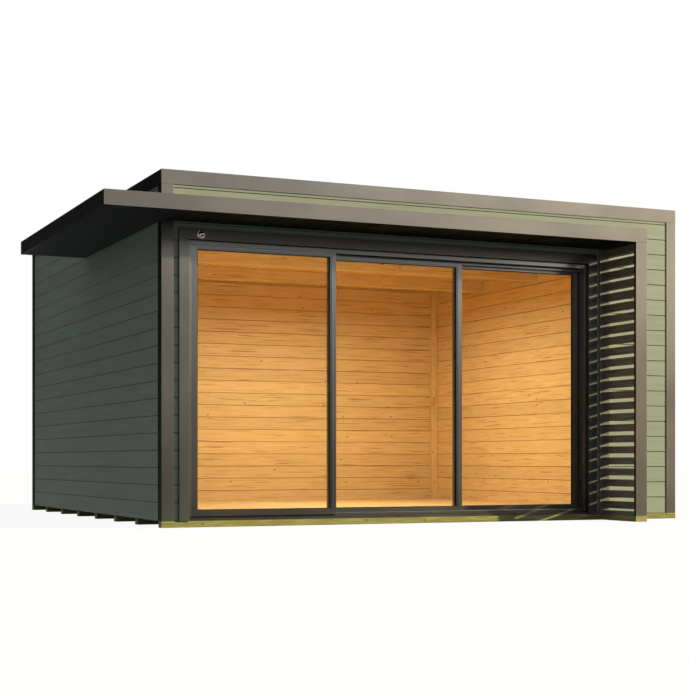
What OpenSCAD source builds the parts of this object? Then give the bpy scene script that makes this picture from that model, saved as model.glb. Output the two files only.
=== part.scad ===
// Flat-roofed garden office: log walls, folded trims, a canopy round one corner,
// a slatted screen and a three-leaf sliding door on a three-track frame.
// Millimetres, +Z up, the front faces -Y, the origin is on the ground
// at the centre of the footprint, canopy included.

/* [Building] */
// Width over the corner trims
body_w = 4330; // [4150:10:5400]
// Depth over the corner trims
body_d = 4200; // [3000:10:5400]
// Height of the roof edge above the ground
roof_top = 2500; // [2440:10:2900]
// Thickness of the log walls
wall_t = 44; // [34:1:70]

/* [Base] */
// Height of the timber bearers
bearer_h = 45; // [30:1:90]
// Width of each bearer
bearer_w = 70; // [45:1:120]
// Number of bearers from front to back
bearer_count = 8; // [4:1:10]
// Thickness of the floor boards
floor_t = 23; // [16:1:32]

/* [Trims] */
// Thickness of the corner and roof edge trims
trim_t = 6; // [3:1:12]
// Width of each leg of a corner trim
trim_leg = 88; // [60:1:100]
// Width of the boards round the door
door_trim_w = 75; // [60:1:85]
// Thickness of the boards round the door
door_trim_t = 20; // [16:1:30]

/* [Roof] */
// Height of the roof edge band
fascia_h = 103; // [80:1:130]
// Thickness of the coping over the wall tops
coping_t = 10; // [4:1:20]
// Distance of the ceiling below the roof edge
ceiling_drop = 237; // [180:1:260]
// Thickness of the roof boards
roof_deck_t = 20; // [16:1:30]
// Thickness of the roofing sheet
membrane_t = 5; // [3:1:10]
// Number of ceiling beams
beam_count = 3; // [1:1:5]
// Width of a ceiling beam
beam_w = 45; // [35:1:80]
// Depth of a ceiling beam below the ceiling
beam_h = 113; // [60:1:130]
// Width of the posts inside the corners, along the front
corner_post_w = 60; // [30:1:75]
// Depth of the posts inside the corners
corner_post_d = 50; // [30:1:75]

/* [Canopy] */
// Distance of the canopy's underside below the roof edge
canopy_drop = 358; // [320:1:375]
// Height of the canopy's edge band
canopy_h = 104; // [80:1:130]
// Thickness of the canopy's edge band
canopy_band_t = 27; // [18:1:40]
// Reach of the canopy in front of the corner trims
canopy_front = 462; // [350:1:800]
// Reach of the canopy beyond the left corner trims
canopy_side = 529; // [350:1:800]
// Length of the canopy along the left wall, from the front trims
canopy_return = 2159; // [600:1:2900]
// Thickness of the soffit boards
soffit_t = 18; // [12:1:28]
// Thickness of the canopy's roof panel
canopy_deck_t = 20; // [12:1:30]
// Depth of the canopy's roof panel below the band's top edge
canopy_deck_drop = 12; // [0:1:25]

/* [Screen] */
// Distance of the screen's outer side from the right corner trims
screen_inset = 604; // [300:1:900]
// Width of the screen's front board
screen_w = 100; // [90:1:120]
// Height of a slat
slat_h = 55; // [30:1:80]
// Gap between slats
slat_gap = 31; // [20:1:60]
// Thickness of a slat
slat_t = 66; // [50:1:72]
// Height of the narrow slat at the foot
foot_slat_h = 32; // [20:1:60]
// Gap over the narrow slat
foot_slat_gap = 18; // [10:1:40]
// Width of the flat post that carries the slats on the wall
wall_post_w = 92; // [80:1:100]
// Thickness of the flat post
wall_post_t = 14; // [8:1:24]
// Width of the bearer under the slats
slat_bearer_w = 55; // [45:1:60]
// Gap between the two bearers of the screen
bearer_gap = 2; // [1:1:8]

/* [Door] */
// Distance of the door frame from the left corner trims
door_x = 175; // [160:1:190]
// Distance of the door frame from the screen
door_screen_gap = 107; // [80:1:200]
// Distance of the door frame's top below the canopy
door_drop = 96; // [60:1:250]
// Set-back of the door frame from the face of the walls
door_setback = 12; // [4:1:20]
// Width of the frame's jambs
jamb_w = 47; // [40:1:60]
// Height of the frame's head
head_h = 59; // [45:1:80]
// Gap between the frame's head and the sliding leaves
head_gap = 15; // [8:1:18]
// Height of the sill under its rails
sill_h = 27; // [18:1:32]
// Width of the slope along the sill's front edge
sill_slope_w = 14; // [4:1:30]
// Fall of the slope along the sill's front edge
sill_slope_h = 9; // [2:1:12]
// Width of a drain slot in the sill
drain_w = 34; // [15:1:60]
// Height of a drain slot
drain_h = 6; // [3:1:7]
// Depth of a drain slot
drain_d = 10; // [4:1:30]
// Distance from one track to the next
track_pitch = 40; // [38:1:60]
// Cover of the side boards over the frame's jambs
trim_cover = 25; // [15:1:30]
// Cover of the head board over the frame's head
head_cover = 27; // [15:1:30]

/* [Door leaves] */
// Thickness of a leaf
leaf_t = 32; // [30:1:33]
// Width of a leaf's stiles
stile_w = 48; // [35:1:80]
// Height of a leaf's bottom rail
bottom_rail_h = 44; // [36:1:90]
// Height of a leaf's top rail
top_rail_h = 29; // [28:1:80]
// Thickness of the double glazing
glass_t = 20; // [6:1:22]
// Depth of the glass edge inside the frame
glass_edge = 8; // [5:1:10]
// Width of the glazing bead round the glass
bead_w = 10; // [6:1:18]
// Set-back of the glazing bead from the leaf's outer face
bead_step = 3; // [1:1:4]
// Width of the rails that the leaves run on
rail_w = 6; // [4:1:8]
// Height of the rails above the sill
rail_h = 17; // [12:1:22]
// Reach of the head's guides into the sliding leaves
guide_reach = 9; // [6:1:11]

/* [Lamp] */
// Diameter of the lamp's flange
lamp_d = 56; // [40:1:70]
// Thickness of the lamp's flange
lamp_flange_t = 4; // [2:1:8]
// Diameter of the lamp's dome
lamp_dome_d = 48; // [30:1:54]
// Distance of the lamp from the left corner trims
lamp_x = 285; // [180:1:3400]

/* [Hidden] */
// Clearance round the sliding leaves
slide_gap = 5;
// Clearance between a leaf and the rail that carries it
roller_gap = 0.3;
// Clearance round the edges of the glass
glass_gap = 0.3;
// Overrun of the cuts
overrun = 1;
// Leaves in the door
leaf_count = 3;
// Facets of a round
$fn = 64;

// Plan of the walls
wall_x0 = trim_t;
wall_x1 = body_w - trim_t;
wall_y0 = trim_t;
wall_y1 = body_d - trim_t;
room_x0 = wall_x0 + wall_t;
room_x1 = wall_x1 - wall_t;
room_y0 = wall_y0 + wall_t;
room_y1 = wall_y1 - wall_t;

// Levels
wall_top = roof_top - coping_t;
fascia_z = roof_top - fascia_h;
ceiling_z = roof_top - ceiling_drop;
floor_z = bearer_h + floor_t;
canopy_z = roof_top - canopy_drop;
canopy_top = canopy_z + canopy_h;
canopy_deck_z = canopy_top - canopy_deck_drop - canopy_deck_t;

// Bearers and beams
bearer_pitch = (body_d - bearer_w) / (bearer_count - 1);
beam_pitch = body_d / (beam_count + 1);

// Screen
screen_x1 = body_w - screen_inset;
screen_x = screen_x1 - screen_w;
slat_back_x = screen_x + slat_t;
slat_y0 = canopy_band_t - canopy_front;
slat_y1 = wall_y0 - wall_post_t;
slat_z0 = bearer_h + foot_slat_h + foot_slat_gap;
slat_pitch = slat_h + slat_gap;
slat_count = floor((canopy_z - slat_z0 + slat_gap) / slat_pitch);

// Door frame
door_x1 = screen_x - door_screen_gap;
door_y0 = wall_y0 + door_setback;
door_y1 = door_y0 + leaf_count * track_pitch;
door_z1 = canopy_z - door_drop;
head_z = door_z1 - head_h;
sill_z = bearer_h + sill_h;
clear_x0 = door_x + jamb_w;
clear_x1 = door_x1 - jamb_w;
trim_x0 = door_x + trim_cover - door_trim_w;
trim_x1 = door_x1 - trim_cover + door_trim_w;
door_trim_y = wall_y0 - door_trim_t;
head_trim_z = door_z1 - head_cover;
head_trim_z1 = head_trim_z + door_trim_w;

// Door leaves
leaf_w = (clear_x1 - clear_x0 - slide_gap + (leaf_count - 1) * stile_w) / leaf_count;
leaf_pitch = leaf_w - stile_w;
leaf_z = sill_z + slide_gap;
fixed_leaf_h = head_z - leaf_z;
leaf_h = fixed_leaf_h - head_gap;
groove_w = rail_w + 2 * slide_gap;
roller_groove_d = rail_h - slide_gap + roller_gap;
guide_groove_d = guide_reach + slide_gap;
drain_z = bearer_h + (sill_h - sill_slope_h - drain_h) / 2;

// Centre of the footprint
centre_x = (body_w - canopy_side) / 2;
centre_y = (body_d - canopy_front) / 2;

// Finishes
board_paint = "#56605c";
trim_finish = "#8c8276";
treated_timber = "#b0a552";
pine = "#dea55a";
slat_stain = "#2b2826";
soffit_stain = "#3a3c3a";
frame_coat = "#55524d";
glazing = "#a8c0c4";
roofing = "#3b3d3f";
polished = "#c9ccd0";

// Moves a piece from the front left corner of the trims to the footprint's centre
module site() {
    translate([-centre_x, -centre_y, 0]) children();
}

// Box between two opposite corners
module block(low, high) {
    translate(low) cube(high - low);
}

// Bar along +X with its outer face on Y = 0 and a mitre at either end
module mitred_bar(length, depth, height, start_mitre = true, end_mitre = true) {
    near = start_mitre ? depth : 0;
    far = length - (end_mitre ? depth : 0);
    linear_extrude(height) polygon([[0, 0], [length, 0], [far, depth], [near, depth]]);
}

// Corner of the building, counted anticlockwise from the front left
module corner(index) {
    spots = [[0, 0, 0], [body_w, 0, 0], [body_w, body_d, 0], [0, body_d, 0]];
    translate(spots[index]) rotate(index * 90) children();
}

// Upright angle trim
module corner_trim(index) {
    color(trim_finish) site() corner(index) translate([0, 0, bearer_h])
        linear_extrude(fascia_z - bearer_h) polygon([
            [0, 0], [trim_leg, 0], [trim_leg, trim_t],
            [trim_t, trim_t], [trim_t, trim_leg], [0, trim_leg]
        ]);
}

// Band round the roof edge, folded over the top of the wall
module roof_edge(index, length) {
    color(trim_finish) site() corner(index) {
        translate([0, 0, fascia_z]) mitred_bar(length, trim_t, fascia_h - coping_t);
        translate([0, 0, wall_top]) mitred_bar(length, trim_t + wall_t, coping_t);
    }
}

// Plan of the canopy inside its bands, notched round the corner trim
module canopy_plan() {
    polygon([
        [canopy_band_t - canopy_side, canopy_band_t - canopy_front],
        [screen_x1 - canopy_band_t, canopy_band_t - canopy_front],
        [screen_x1 - canopy_band_t, wall_y0],
        [trim_leg, wall_y0], [trim_leg, 0], [0, 0], [0, trim_leg], [wall_x0, trim_leg],
        [wall_x0, canopy_return - canopy_band_t],
        [canopy_band_t - canopy_side, canopy_return - canopy_band_t]
    ]);
}

// Place of a leaf on its own track, counted from the left and from outside
module on_track(index) {
    leaf_y = door_y0 + index * track_pitch + (track_pitch - leaf_t) / 2;
    translate([clear_x0 + index * leaf_pitch, leaf_y, leaf_z]) children();
}

// Leaf frame with glazing rebate, bead and roller groove, and a guide groove above if it slides
module leaf_frame(height, slides = true) {
    difference() {
        cube([leaf_w, leaf_t, height]);
        translate([stile_w, -overrun, bottom_rail_h])
            cube([leaf_w - 2 * stile_w, leaf_t + 2 * overrun, height - bottom_rail_h - top_rail_h]);
        translate([stile_w - bead_w, -overrun, bottom_rail_h - bead_w])
            cube([
                leaf_w - 2 * (stile_w - bead_w), bead_step + overrun,
                height - bottom_rail_h - top_rail_h + 2 * bead_w
            ]);
        translate([stile_w - glass_edge, (leaf_t - glass_t) / 2, bottom_rail_h - glass_edge])
            cube([
                leaf_w - 2 * (stile_w - glass_edge), glass_t,
                height - bottom_rail_h - top_rail_h + 2 * glass_edge
            ]);
        translate([-overrun, (leaf_t - groove_w) / 2, -overrun])
            cube([leaf_w + 2 * overrun, groove_w, roller_groove_d + overrun]);
        if (slides)
            translate([-overrun, (leaf_t - groove_w) / 2, height - guide_groove_d])
                cube([leaf_w + 2 * overrun, groove_w, guide_groove_d + overrun]);
    }
}

// Pane that stands on the bottom of the glazing rebate
module leaf_glass(height) {
    translate([stile_w - glass_edge + glass_gap, (leaf_t - glass_t) / 2, bottom_rail_h - glass_edge])
        cube([
            leaf_w - 2 * (stile_w - glass_edge + glass_gap), glass_t,
            height - bottom_rail_h - top_rail_h + 2 * glass_edge - glass_gap
        ]);
}

// Carries a profile drawn in Y and Z along X, from one place to another
module along_front(from_x, to_x) {
    translate([from_x, 0, 0]) rotate([90, 0, 90]) linear_extrude(to_x - from_x) children();
}

// Round-headed rail on the middle of each track from the given one on, standing on Z = 0
module track_rails(height, first = 0) {
    for (index = [first : leaf_count - 1])
        translate([0, door_y0 + (index + 1 / 2) * track_pitch, 0]) along_front(clear_x0, clear_x1) {
            translate([-rail_w / 2, -overrun]) square([rail_w, height - rail_w / 2 + overrun]);
            translate([0, height - rail_w / 2]) circle(d = rail_w);
        }
}

// Drain slot under the middle of each leaf
module drain_slots() {
    for (index = [0 : leaf_count - 1])
        translate([clear_x0 + index * leaf_pitch + (leaf_w - drain_w) / 2, door_y0 - overrun, drain_z])
            cube([drain_w, drain_d + overrun, drain_h]);
}

// Base
module floor_bearers() {
    color(treated_timber) site()
        for (index = [0 : bearer_count - 1])
            translate([0, index * bearer_pitch, 0]) cube([body_w, bearer_w, bearer_h]);
}

module screen_bearer() {
    color(treated_timber) site() {
        block([screen_x, -canopy_front, 0], [screen_x + slat_bearer_w, 0, bearer_h]);
        block([screen_x + slat_bearer_w + bearer_gap, -canopy_front, 0], [screen_x1, 0, bearer_h]);
    }
}

module floor_deck() {
    color(pine) site() difference() {
        block([room_x0, room_y0, bearer_h], [room_x1, room_y1, floor_z]);
        block([door_x, room_y0 - overrun, bearer_h - overrun], [door_x1, door_y1, floor_z + overrun]);
    }
}

// Walls
module left_wall() {
    color(board_paint) site() block([wall_x0, wall_y0, bearer_h], [room_x0, wall_y1, wall_top]);
}

module right_wall() {
    color(board_paint) site() block([room_x1, wall_y0, bearer_h], [wall_x1, wall_y1, wall_top]);
}

module back_wall() {
    color(board_paint) site() block([room_x0, room_y1, bearer_h], [room_x1, wall_y1, wall_top]);
}

module front_wall_left() {
    color(board_paint) site() block([room_x0, wall_y0, bearer_h], [door_x, room_y0, wall_top]);
}

module front_wall_right() {
    color(board_paint) site() block([door_x1, wall_y0, bearer_h], [room_x1, room_y0, wall_top]);
}

module front_wall_head() {
    color(board_paint) site() block([door_x, wall_y0, door_z1], [door_x1, room_y0, wall_top]);
}

// Trims on the corners
module corner_trim_front_left() { corner_trim(0); }
module corner_trim_front_right() { corner_trim(1); }
module corner_trim_back_right() { corner_trim(2); }
module corner_trim_back_left() { corner_trim(3); }

// Timber inside
module inner_corner_posts() {
    color(pine) site()
        for (x = [room_x0, room_x1 - corner_post_w], y = [room_y0, room_y1 - corner_post_d])
            translate([x, y, floor_z]) cube([corner_post_w, corner_post_d, ceiling_z - floor_z]);
}

module roof_beams() {
    color(pine) site()
        for (index = [1 : beam_count])
            translate([room_x0, index * beam_pitch - beam_w / 2, ceiling_z - beam_h])
                cube([room_x1 - room_x0, beam_w, beam_h]);
}

// Roof
module roof_deck() {
    color(pine) site() block([room_x0, room_y0, ceiling_z], [room_x1, room_y1, ceiling_z + roof_deck_t]);
}

module roof_membrane() {
    sheet_z = ceiling_z + roof_deck_t;
    color(roofing) site() block([room_x0, room_y0, sheet_z], [room_x1, room_y1, sheet_z + membrane_t]);
}

module roof_edge_front() { roof_edge(0, body_w); }
module roof_edge_right() { roof_edge(1, body_d); }
module roof_edge_back() { roof_edge(2, body_w); }
module roof_edge_left() { roof_edge(3, body_d); }

// Canopy
module canopy_soffit() {
    color(soffit_stain) site() translate([0, 0, canopy_z]) linear_extrude(soffit_t) canopy_plan();
}

module canopy_deck() {
    color(roofing) site() translate([0, 0, canopy_deck_z]) linear_extrude(canopy_deck_t) canopy_plan();
}

module canopy_band_front() {
    color(trim_finish) site() translate([-canopy_side, -canopy_front, canopy_z])
        mitred_bar(screen_x1 + canopy_side, canopy_band_t, canopy_h);
}

module canopy_band_left() {
    color(trim_finish) site() translate([-canopy_side, canopy_return, canopy_z]) rotate(-90)
        mitred_bar(canopy_return + canopy_front, canopy_band_t, canopy_h);
}

module canopy_band_back() {
    color(trim_finish) site() translate([wall_x0, canopy_return, canopy_z]) rotate(180)
        mitred_bar(wall_x0 + canopy_side, canopy_band_t, canopy_h, start_mitre = false);
}

module canopy_band_right() {
    color(trim_finish) site() translate([screen_x1, -canopy_front, canopy_z]) rotate(90)
        mitred_bar(canopy_front + wall_y0, canopy_band_t, canopy_h, end_mitre = false);
}

// Screen
module screen_front_board() {
    color(trim_finish) site() block([screen_x, -canopy_front, bearer_h], [screen_x1, slat_y0, canopy_z]);
}

module screen_wall_post() {
    color(slat_stain) site()
        block([slat_back_x - wall_post_w, slat_y1, bearer_h], [slat_back_x, wall_y0, canopy_z]);
}

module screen_slats() {
    color(slat_stain) site() {
        block([screen_x, slat_y0, bearer_h], [slat_back_x, slat_y1, bearer_h + foot_slat_h]);
        for (index = [0 : slat_count - 1])
            translate([screen_x, slat_y0, slat_z0 + index * slat_pitch])
                cube([slat_t, slat_y1 - slat_y0, slat_h]);
    }
}

// Boards round the door, on the wall, with a lip that reaches back to the door frame
module door_trim_left() {
    color(trim_finish) site() {
        block([trim_x0, door_trim_y, bearer_h], [trim_x0 + door_trim_w, wall_y0, head_trim_z]);
        block([door_x, door_trim_y, bearer_h], [trim_x0 + door_trim_w, door_y0, head_trim_z]);
    }
}

module door_trim_right() {
    color(trim_finish) site() {
        block([trim_x1 - door_trim_w, door_trim_y, bearer_h], [trim_x1, wall_y0, head_trim_z]);
        block([trim_x1 - door_trim_w, door_trim_y, bearer_h], [door_x1, door_y0, head_trim_z]);
    }
}

module door_trim_head() {
    color(trim_finish) site() {
        block([trim_x0, door_trim_y, head_trim_z], [trim_x1, wall_y0, head_trim_z1]);
        block([door_x, door_trim_y, head_trim_z], [door_x1, door_y0, door_z1]);
    }
}

// Three-track door frame
module door_head_track() {
    color(frame_coat) site() {
        block([door_x, door_y0, head_z], [door_x1, door_y1, door_z1]);
        translate([0, 0, head_z]) mirror([0, 0, 1]) track_rails(head_gap + guide_reach, 1);
    }
}

module door_sill_track() {
    color(frame_coat) site() difference() {
        union() {
            along_front(door_x, door_x1) polygon([
                [door_y0, bearer_h], [door_y1, bearer_h], [door_y1, sill_z],
                [door_y0 + sill_slope_w, sill_z], [door_y0, sill_z - sill_slope_h]
            ]);
            translate([0, 0, sill_z]) track_rails(rail_h);
        }
        drain_slots();
    }
}

module door_jamb_left() {
    color(frame_coat) site() block([door_x, door_y0, sill_z], [clear_x0, door_y1, head_z]);
}

module door_jamb_right() {
    color(frame_coat) site() block([clear_x1, door_y0, sill_z], [door_x1, door_y1, head_z]);
}

// Leaves: the left one is fixed and reaches the head
module left_leaf_frame() { color(frame_coat) site() on_track(0) leaf_frame(fixed_leaf_h, slides = false); }
module left_leaf_glass() { color(glazing) site() on_track(0) leaf_glass(fixed_leaf_h); }
module middle_leaf_frame() { color(frame_coat) site() on_track(1) leaf_frame(leaf_h); }
module middle_leaf_glass() { color(glazing) site() on_track(1) leaf_glass(leaf_h); }
module right_leaf_frame() { color(frame_coat) site() on_track(2) leaf_frame(leaf_h); }
module right_leaf_glass() { color(glazing) site() on_track(2) leaf_glass(leaf_h); }

// Round lamp on the board over the door
module dome_lamp() {
    color(polished) site() translate([lamp_x, door_trim_y, head_trim_z + door_trim_w / 2]) rotate([90, 0, 0])
        rotate_extrude() union() {
            square([lamp_d / 2, lamp_flange_t]);
            translate([0, lamp_flange_t]) intersection() {
                circle(d = lamp_dome_d);
                square(lamp_dome_d / 2);
            }
        }
}

floor_bearers();
screen_bearer();
floor_deck();
left_wall();
right_wall();
back_wall();
front_wall_left();
front_wall_right();
front_wall_head();
corner_trim_front_left();
corner_trim_front_right();
corner_trim_back_right();
corner_trim_back_left();
inner_corner_posts();
roof_beams();
roof_deck();
roof_membrane();
roof_edge_front();
roof_edge_right();
roof_edge_back();
roof_edge_left();
canopy_soffit();
canopy_deck();
canopy_band_front();
canopy_band_left();
canopy_band_back();
canopy_band_right();
screen_front_board();
screen_wall_post();
screen_slats();
door_trim_left();
door_trim_right();
door_trim_head();
door_head_track();
door_sill_track();
door_jamb_left();
door_jamb_right();
left_leaf_frame();
left_leaf_glass();
middle_leaf_frame();
middle_leaf_glass();
right_leaf_frame();
right_leaf_glass();
dome_lamp();
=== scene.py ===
"""Looks of a flat-roofed garden office: log walls, folded trims, canopy, slatted screen, sliding door.

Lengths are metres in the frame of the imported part. A name that ends in _mm is in millimetres.
"""

import logging
import math
import zlib
from abc import ABC, abstractmethod
from dataclasses import dataclass
from enum import Enum
from functools import lru_cache
from typing import Any, Mapping, Sequence

import bpy
import numpy as np
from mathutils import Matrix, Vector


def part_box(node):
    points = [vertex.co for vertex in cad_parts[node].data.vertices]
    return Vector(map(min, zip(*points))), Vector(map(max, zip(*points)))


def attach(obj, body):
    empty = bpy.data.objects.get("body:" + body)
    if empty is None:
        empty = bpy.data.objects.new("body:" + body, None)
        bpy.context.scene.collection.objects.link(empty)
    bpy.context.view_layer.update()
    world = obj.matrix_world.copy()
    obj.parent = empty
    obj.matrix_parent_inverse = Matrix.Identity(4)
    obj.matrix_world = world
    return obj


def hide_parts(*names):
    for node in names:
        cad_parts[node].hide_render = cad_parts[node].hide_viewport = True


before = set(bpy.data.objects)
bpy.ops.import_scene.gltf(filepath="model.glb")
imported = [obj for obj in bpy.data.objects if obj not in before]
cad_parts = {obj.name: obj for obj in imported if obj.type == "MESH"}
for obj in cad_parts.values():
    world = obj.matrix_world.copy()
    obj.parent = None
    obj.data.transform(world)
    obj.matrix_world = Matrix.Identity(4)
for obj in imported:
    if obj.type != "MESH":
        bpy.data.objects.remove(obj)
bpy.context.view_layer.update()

LOG = logging.getLogger("garden_office")
MM = 0.001
X_AXIS, Y_AXIS, Z_AXIS = np.eye(3)
GRAIN_MAP = "grain"
GRAIN_SPREAD = 40.0
TONE = "tone"
SHARP_DEG = 40.0

Array = np.ndarray
Point = tuple[float, float, float]
Pair = tuple[float, float]
Tree = bpy.types.NodeTree
Node = bpy.types.Node
Socket = bpy.types.NodeSocket


class Side(Enum):
    """Side of the building: its inward direction, and the way a run goes along it, anticlockwise."""

    FRONT = ((0.0, 1.0, 0.0), (1.0, 0.0, 0.0))
    RIGHT = ((-1.0, 0.0, 0.0), (0.0, 1.0, 0.0))
    BACK = ((0.0, -1.0, 0.0), (-1.0, 0.0, 0.0))
    LEFT = ((1.0, 0.0, 0.0), (0.0, -1.0, 0.0))

    @property
    def inward(self) -> Array:
        """Unit vector into the building."""
        return np.array(self.value[0])

    @property
    def along(self) -> Array:
        """Unit vector of a run along this side."""
        return np.array(self.value[1])

    def start(self, low: Array, high: Array) -> Array:
        """Lower corner of a box's outer face, where a run along this side begins."""
        return np.where(self.inward + self.along < 0.0, high, low)

    def length(self, low: Array, high: Array) -> float:
        """Length of a box along this side."""
        return float(abs((high - low) @ self.along))

    def depth(self, low: Array, high: Array) -> float:
        """Depth of a box from its outer to its inner face."""
        return float(abs((high - low) @ self.inward))


class Anchor(Enum):
    """Rectangle that a point of a leaf's section keeps to."""

    OUTER = 0
    OPENING = 1


def corners(node: str) -> tuple[Array, Array]:
    """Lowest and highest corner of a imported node, as arrays."""
    low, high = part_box(node)
    return np.array(low), np.array(high)


def unit(vectors: Array) -> Array:
    """Rows of an array at length one."""
    return vectors / np.linalg.norm(vectors, axis=-1, keepdims=True)


def eased(outline: Sequence[Sequence[float]], radius: float, steps: int = 3) -> Array:
    """Rounds the corners of an outline.

    An arc's centre is on the bisector of its corner, radius / sin(half the angle) away, and its
    points are the sine blend of the two spokes to the tangent points.

    Args:
        outline: Corner points, anticlockwise.
        radius: Radius of every corner.
        steps: Number of chords in an arc.

    Returns:
        Points of the rounded outline.
    """
    points = np.asarray(outline, float)
    back = unit(np.roll(points, 1, axis=0) - points)
    ahead = unit(np.roll(points, -1, axis=0) - points)
    bisector = unit(back + ahead)
    half = np.arccos(np.clip((back * bisector).sum(axis=1), -1.0, 1.0))[:, None]
    centre = points + bisector * radius / np.sin(half)
    first = (points + back * radius / np.tan(half) - centre)[:, None]
    last = (points + ahead * radius / np.tan(half) - centre)[:, None]
    swing = (math.pi - 2.0 * half)[:, None]
    share = np.linspace(0.0, 1.0, steps + 1)[None, :, None]
    arcs = (np.sin((1.0 - share) * swing) * first + np.sin(share * swing) * last) / np.sin(swing)
    return (centre[:, None] + arcs).reshape(-1, 2)


def rectangle(width: float, height: float, radius: float) -> Array:
    """Section of a bar with eased edges, from its lower corner."""
    return eased([(0.0, 0.0), (width, 0.0), (width, height), (0.0, height)], radius)


def girth(outlines: Array) -> Array:
    """Distance round each closed outline to its points, and back to the first one."""
    chords = np.linalg.norm(np.roll(outlines, -1, axis=1) - outlines, axis=2)
    return np.pad(np.cumsum(chords, axis=1), ((0, 0), (1, 0)))


@dataclass
class Patch:
    """Faces of a piece, in blocks of equal corner count, with grain map and tone for each face."""

    points: Array
    faces: list[Array]
    grain: list[Array]
    tones: list[Array]


@dataclass
class Bars:
    """Bars of one section, each carried along a straight line.

    A section point (a, b) lies at start + across * a + up * (b + share * growth) + along * s, where
    s is slopes[0] * a at the near end and length + slopes[1] * a at the far end. Each bar has its own
    place on the grain map and its own tone, to which a side of the section or the cut ends add a shade.
    """

    section: Array
    across: Array
    up: Array
    along: Array
    starts: Array
    lengths: Array | float
    shares: Array | float = 0.0
    growths: Array | float = 0.0
    slopes: Pair = (0.0, 0.0)
    # Tone added to each side of the section: painted shade in grooves and under the floor.
    painted_shades: Array | float = 0.0
    end_shade: float = 0.0
    seed: str = "bars"

    def patch(self) -> Patch:
        """Faces of all the bars.

        Returns:
            Side faces and end faces, turned outwards.
        """
        starts = np.atleast_2d(self.starts)
        bars, points = len(starts), len(self.section)
        a, b = self.section.T
        heights = b + np.broadcast_to(self.growths, bars)[:, None] * np.broadcast_to(self.shares, points)
        near = np.broadcast_to(self.slopes[0] * a, (bars, points))
        far = np.broadcast_to(self.lengths, bars)[:, None] + self.slopes[1] * a
        reach = np.stack([near, far], axis=1)
        places = (
            starts[:, None, None]
            + a[:, None] * self.across
            + heights[:, None, :, None] * self.up
            + reach[..., None] * self.along
        )
        index = np.arange(bars * 2 * points).reshape(bars, 2, points)
        ahead = np.roll(index, -1, axis=2)
        sides = np.stack([index[:, 0], ahead[:, 0], ahead[:, 1], index[:, 1]], axis=-1).reshape(-1, 4)
        ends = np.concatenate([index[:, 0, ::-1], index[:, 1]])

        random = np.random.default_rng(zlib.crc32(self.seed.encode()))
        shift = random.uniform(0.0, GRAIN_SPREAD, (bars, 2))
        tone = random.uniform(-1.0, 1.0, bars)
        outlines = np.stack([np.broadcast_to(a, heights.shape), heights], axis=-1)
        round_it = girth(outlines)
        next_reach = np.roll(reach, -1, axis=2)
        runs = np.stack([reach[:, 0], next_reach[:, 0], next_reach[:, 1], reach[:, 1]], axis=-1)
        here, there = round_it[:, :-1], round_it[:, 1:]
        turns = np.stack([here, there, there, here], axis=-1)
        side_map = np.stack([runs, turns], axis=-1) + shift[:, None, None]
        end_map = outlines + shift[:, None]
        side_tone = tone[:, None] + np.broadcast_to(self.painted_shades, points)
        faces = [sides, ends]
        grain = [side_map.reshape(-1, 4, 2), np.concatenate([end_map[:, ::-1], end_map])]
        if np.cross(self.across, self.up) @ self.along < 0.0:
            faces = [block[:, ::-1] for block in faces]
            grain = [block[:, ::-1] for block in grain]
        tones = [side_tone.ravel(), np.tile(tone + self.end_shade, 2)]
        return Patch(places.reshape(-1, 3), faces, grain, tones)


def beam(
    low: Array, high: Array, along: Array, radius: float, seed: str = "beam", end_shade: float = 0.0
) -> Patch:
    """One straight timber or bar that fills a box.

    Args:
        low: Lowest corner of the box.
        high: Highest corner of the box.
        along: Axis that the grain follows.
        radius: Radius of the long edges.
        seed: Name that picks the place on the grain map.
        end_shade: Shade of the cut ends.

    Returns:
        Faces of the bar.
    """
    across = Y_AXIS if along is X_AXIS else X_AXIS
    up = Y_AXIS if along is Z_AXIS else Z_AXIS
    size = np.asarray(high) - low
    section = rectangle(size @ across, size @ up, radius)
    return Bars(section, across, up, along, low, size @ along, end_shade=end_shade, seed=seed).patch()


def spaced(low: Array, high: Array, width: float, count: int) -> Array:
    """Lowest corners of timbers of one width, evenly spaced from the front to the back of a box."""
    shift = np.linspace(0.0, high[1] - low[1] - width, count)
    return low + shift[:, None] * Y_AXIS


@dataclass
class BoardRow:
    """Row of flat boards side by side, with a narrow V joint between their shown faces.

    The section is a board with its two shown edges cut back, carried along the boards' run and
    repeated by the width of a board.
    """

    width_mm: float
    joint_mm: float = 2.5
    groove_mm: float = 1.0
    # Painted shade on the faces of the V, for the shadow inside the joint.
    joint_painted_shade: float = -5.0

    def patch(self, low: Array, high: Array, along: Array, shown: Array, seed: str) -> Patch:
        """Boards that fill a flat box.

        Args:
            low: Lowest corner of the box.
            high: Highest corner of the box.
            along: Axis that the boards follow.
            shown: Unit vector out of the shown face.
            seed: Name that picks the places on the grain map.

        Returns:
            Faces of the boards.
        """
        low, high = np.asarray(low), np.asarray(high)
        step = np.abs(np.cross(along, shown))
        span = (high - low) @ step
        count = max(1, round(span / (self.width_mm * MM)))
        width = span / count
        thick = (high - low) @ np.abs(shown)
        cut, gap = self.joint_mm * MM, self.groove_mm * MM / 2.0
        section = np.array([
            (0.0, 0.0), (width, 0.0), (width, thick / 2.0), (width - gap, thick / 2.0),
            (width - gap, thick - cut), (width - gap - cut, thick), (gap + cut, thick),
            (gap, thick - cut), (gap, thick / 2.0), (0.0, thick / 2.0),
        ])
        # The faces of the V and the slot get painted shade.
        painted_shades = self.joint_painted_shade * np.array([0, 0, 1, 1, 1, 0, 1, 1, 1, 0])
        corner = np.where(shown < 0.0, high, low)
        starts = corner + np.arange(count)[:, None] * width * step
        run = (high - low) @ along
        return Bars(section, step, shown, along, starts, run, painted_shades=painted_shades, seed=seed).patch()


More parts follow.
